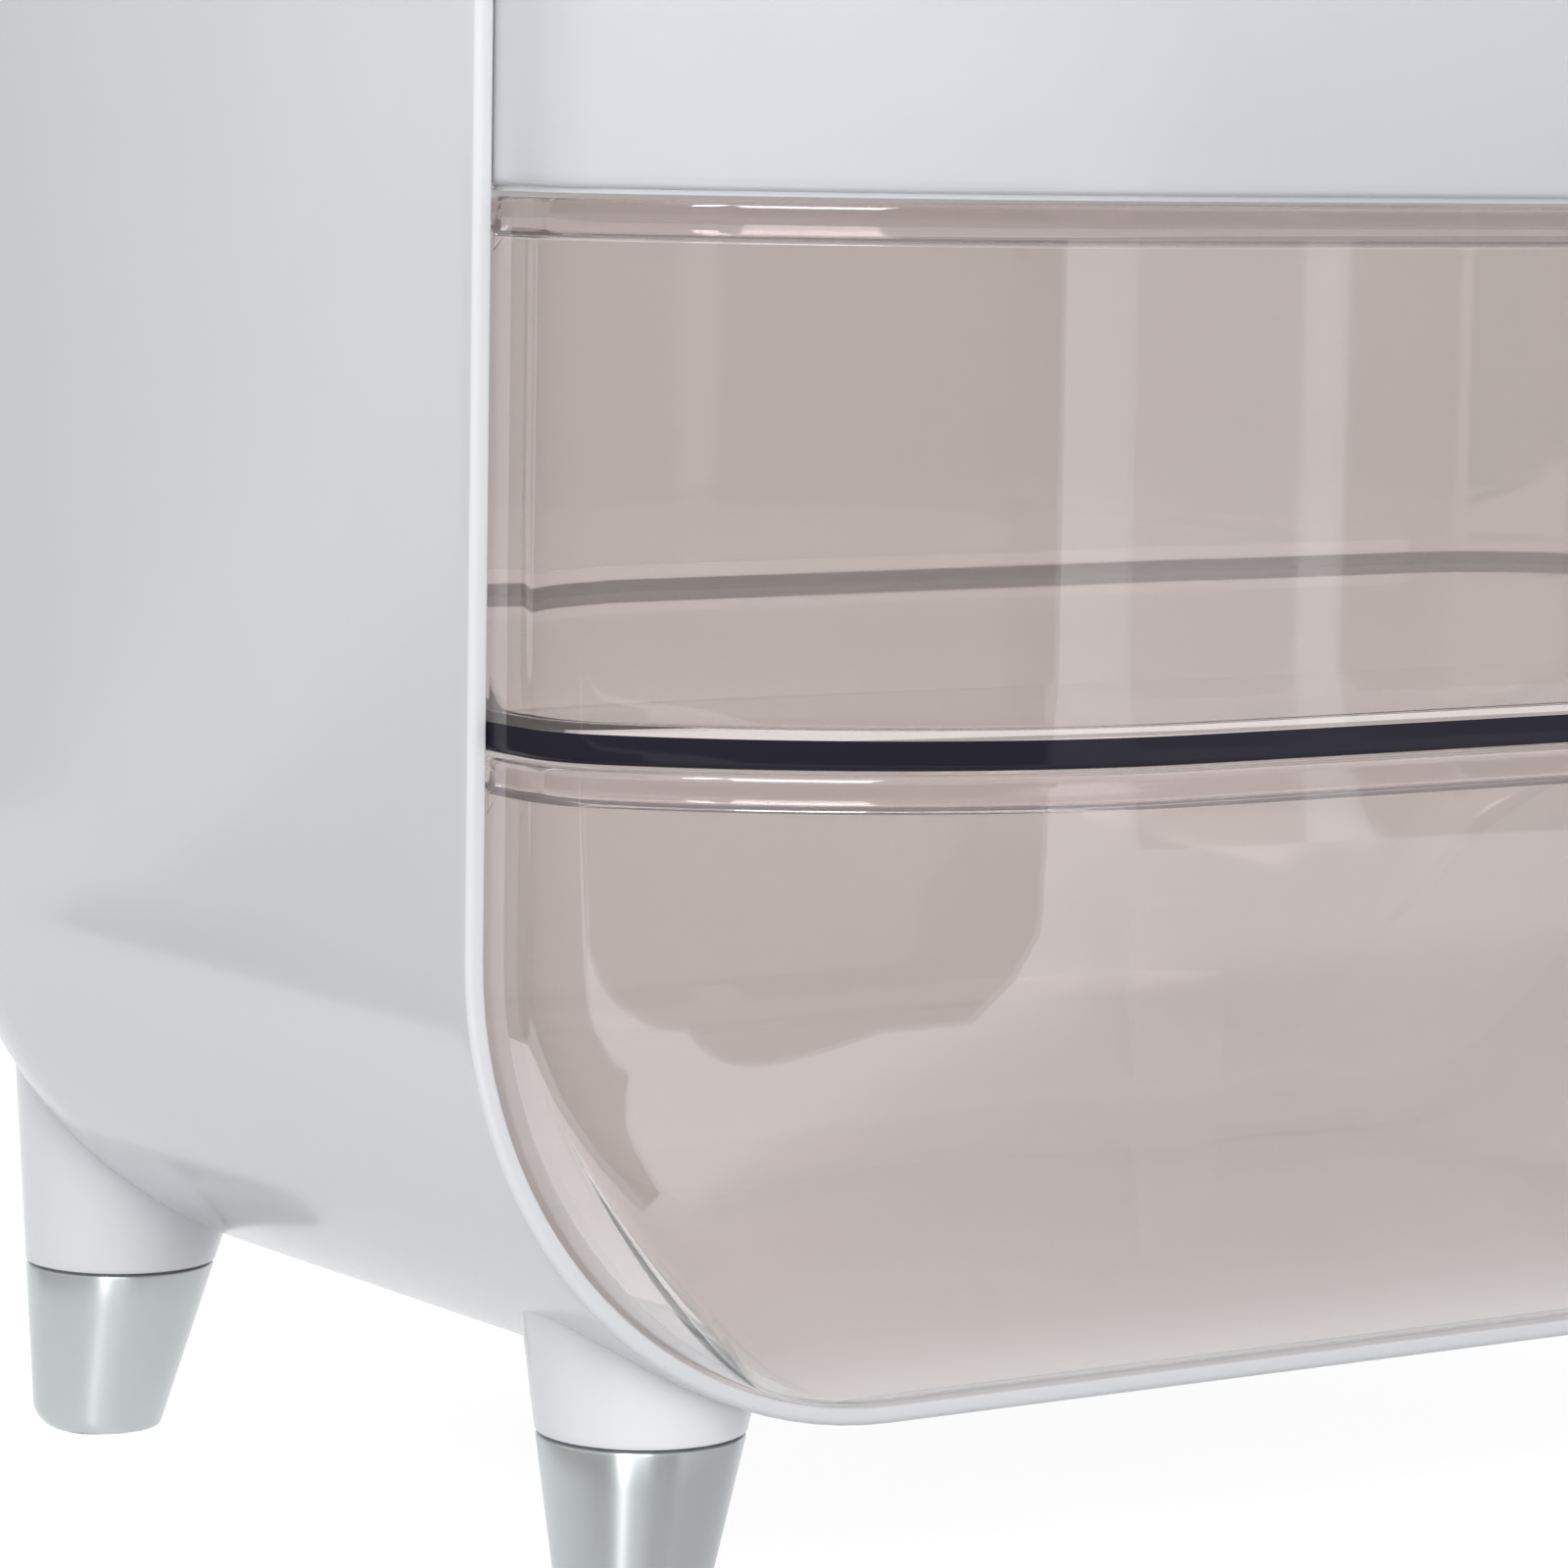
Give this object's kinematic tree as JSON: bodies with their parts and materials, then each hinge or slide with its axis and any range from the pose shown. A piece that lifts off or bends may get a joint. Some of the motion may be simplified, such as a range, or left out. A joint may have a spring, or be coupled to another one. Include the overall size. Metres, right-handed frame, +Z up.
{
  "type": "makeup organizer with drawers",
  "caption": "Rounded white tabletop makeup organizer on splayed legs, with smoky clear bulging drawers under a white top drawer.",
  "frame": {"origin": "on the surface it stands on, under the middle of the whole part", "axes": "+Z up, -Y towards the user, the way the drawers open; +X to the user's right"},
  "size_m": [0.2966, 0.2276, 0.2658],
  "materials": {
    "white_plastic": "gloss",
    "smoky_plastic": "gloss",
    "plated_tip": "satin",
    "foot_pad": "matte",
    "screw_steel": "satin"
  },
  "bodies": {
    "cabinet": {"outer_shell": "white_plastic", "lower_shelf": "white_plastic", "upper_shelf": "white_plastic", "leg_front_left": "white_plastic", "leg_front_right": "white_plastic", "leg_rear_left": "white_plastic", "leg_rear_right": "white_plastic", "tip_front_left": "plated_tip", "tip_front_right": "plated_tip", "tip_rear_left": "plated_tip", "tip_rear_right": "plated_tip", "pad_front_left": "foot_pad", "pad_front_right": "foot_pad", "pad_rear_left": "foot_pad", "pad_rear_right": "foot_pad", "screw_front_left": "screw_steel", "screw_front_right": "screw_steel", "screw_rear_left": "screw_steel", "screw_rear_right": "screw_steel"},
    "bottom_drawer_body": {"bottom_drawer": "smoky_plastic"},
    "middle_drawer_body": {"middle_drawer": "smoky_plastic"},
    "top_drawer_body": {"top_drawer": "white_plastic"}
  },
  "joints": [
    {"name": "bottom_drawer_slide", "type": "slide", "parent": "cabinet", "child": "bottom_drawer_body", "axis": [0, -1, 0], "range_m": [0, 0.11]},
    {"name": "middle_drawer_slide", "type": "slide", "parent": "cabinet", "child": "middle_drawer_body", "axis": [0, -1, 0], "range_m": [0, 0.11]},
    {"name": "top_drawer_slide", "type": "slide", "parent": "cabinet", "child": "top_drawer_body", "axis": [0, -1, 0], "range_m": [0, 0.11]}
  ]
}
